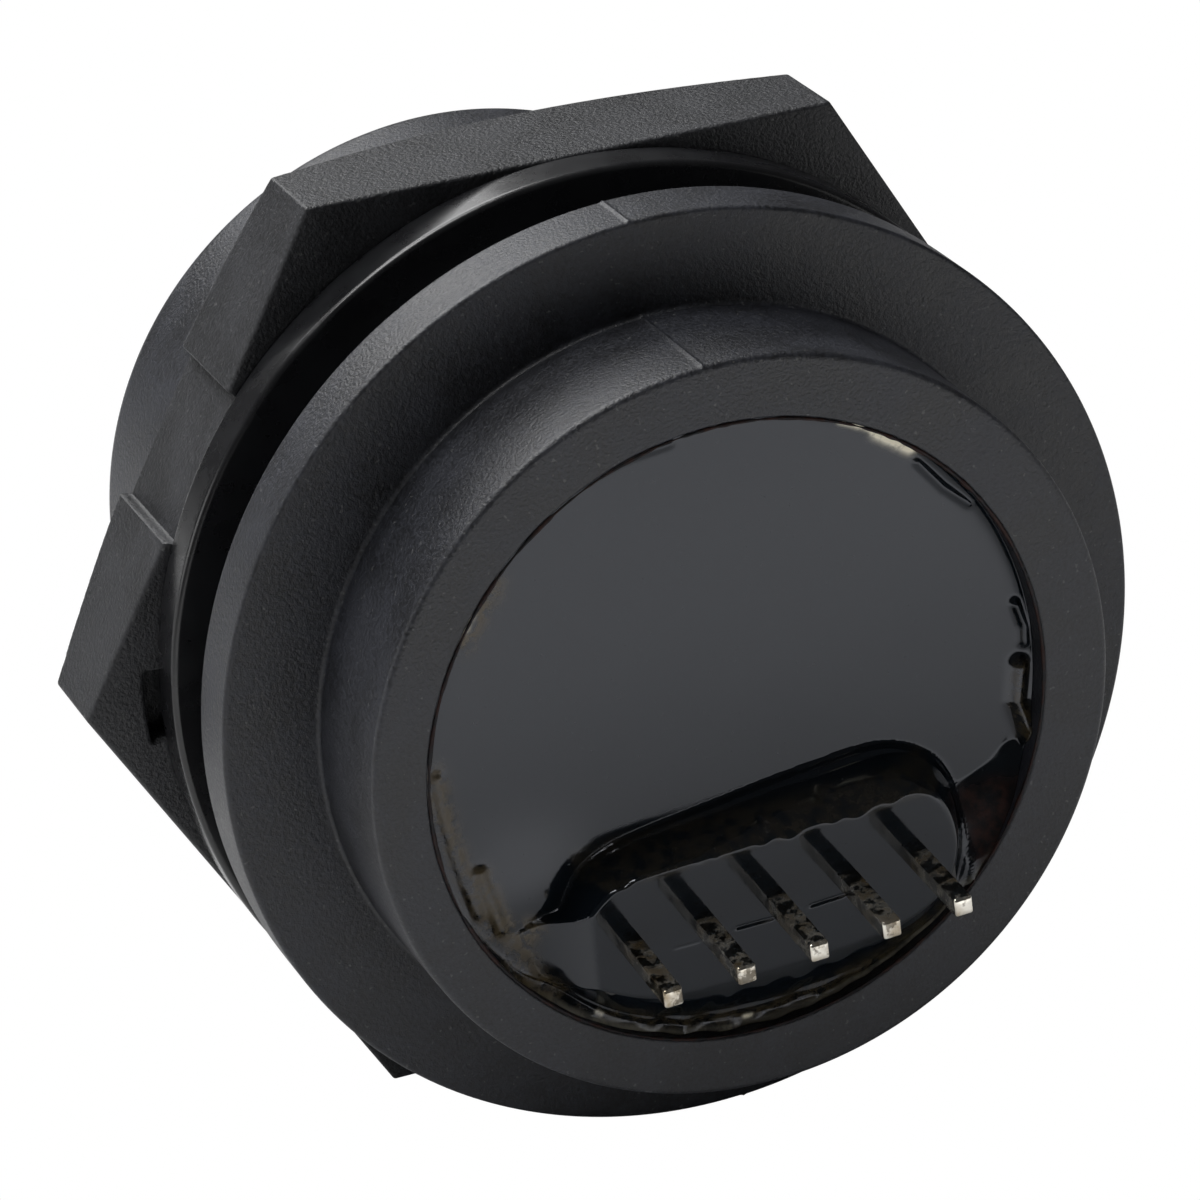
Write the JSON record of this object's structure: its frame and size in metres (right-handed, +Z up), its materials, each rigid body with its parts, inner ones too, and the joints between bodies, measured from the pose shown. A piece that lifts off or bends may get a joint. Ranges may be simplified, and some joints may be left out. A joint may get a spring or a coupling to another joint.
{
  "type": "panel mount usb socket",
  "caption": "Round sealed panel socket with a flange, a threaded barrel with gasket and hex nut, a recessed USB receptacle at the front and a potted pin header at the back.",
  "frame": {"origin": "on the socket's axis, at the face of the flange that sits against the panel", "axes": "+Y along the axis from the flange towards the nut and the USB mouth, +X along the row of header pins, +Z up, with the header pins below the axis"},
  "size_m": [0.0368, 0.0305, 0.033],
  "materials": {
    "housing_nylon": "black moulded nylon, faint satin",
    "gasket_rubber": "smooth black rubber",
    "nut_nylon": "black moulded nylon, fine grain",
    "potting_epoxy": "glossy black casting resin",
    "header_plastic": "black moulded strip",
    "board_laminate": "green solder mask",
    "receptacle_steel": "tin plated sheet",
    "insulator_plastic": "white moulded insulator",
    "carrier_plastic": "black moulded plastic",
    "seal_rubber": "smooth black rubber",
    "pin_tin": "bright tin plate over brass",
    "contact_gold": "gold flashed spring bronze"
  },
  "bodies": {
    "root": {"housing": "housing_nylon", "panel_gasket": "gasket_rubber", "hex_nut": "nut_nylon", "potting": "potting_epoxy", "header_block": "header_plastic", "circuit_board": "board_laminate", "receptacle_shell": "receptacle_steel", "receptacle_insulator": "insulator_plastic", "socket_carrier": "carrier_plastic", "carrier_seal": "seal_rubber", "mating_seal": "seal_rubber", "header_pin_1": "pin_tin", "header_pin_2": "pin_tin", "header_pin_3": "pin_tin", "header_pin_4": "pin_tin", "header_pin_5": "pin_tin", "contact_1": "contact_gold", "contact_2": "contact_gold", "contact_3": "contact_gold", "contact_4": "contact_gold"}
  },
  "joints": []
}
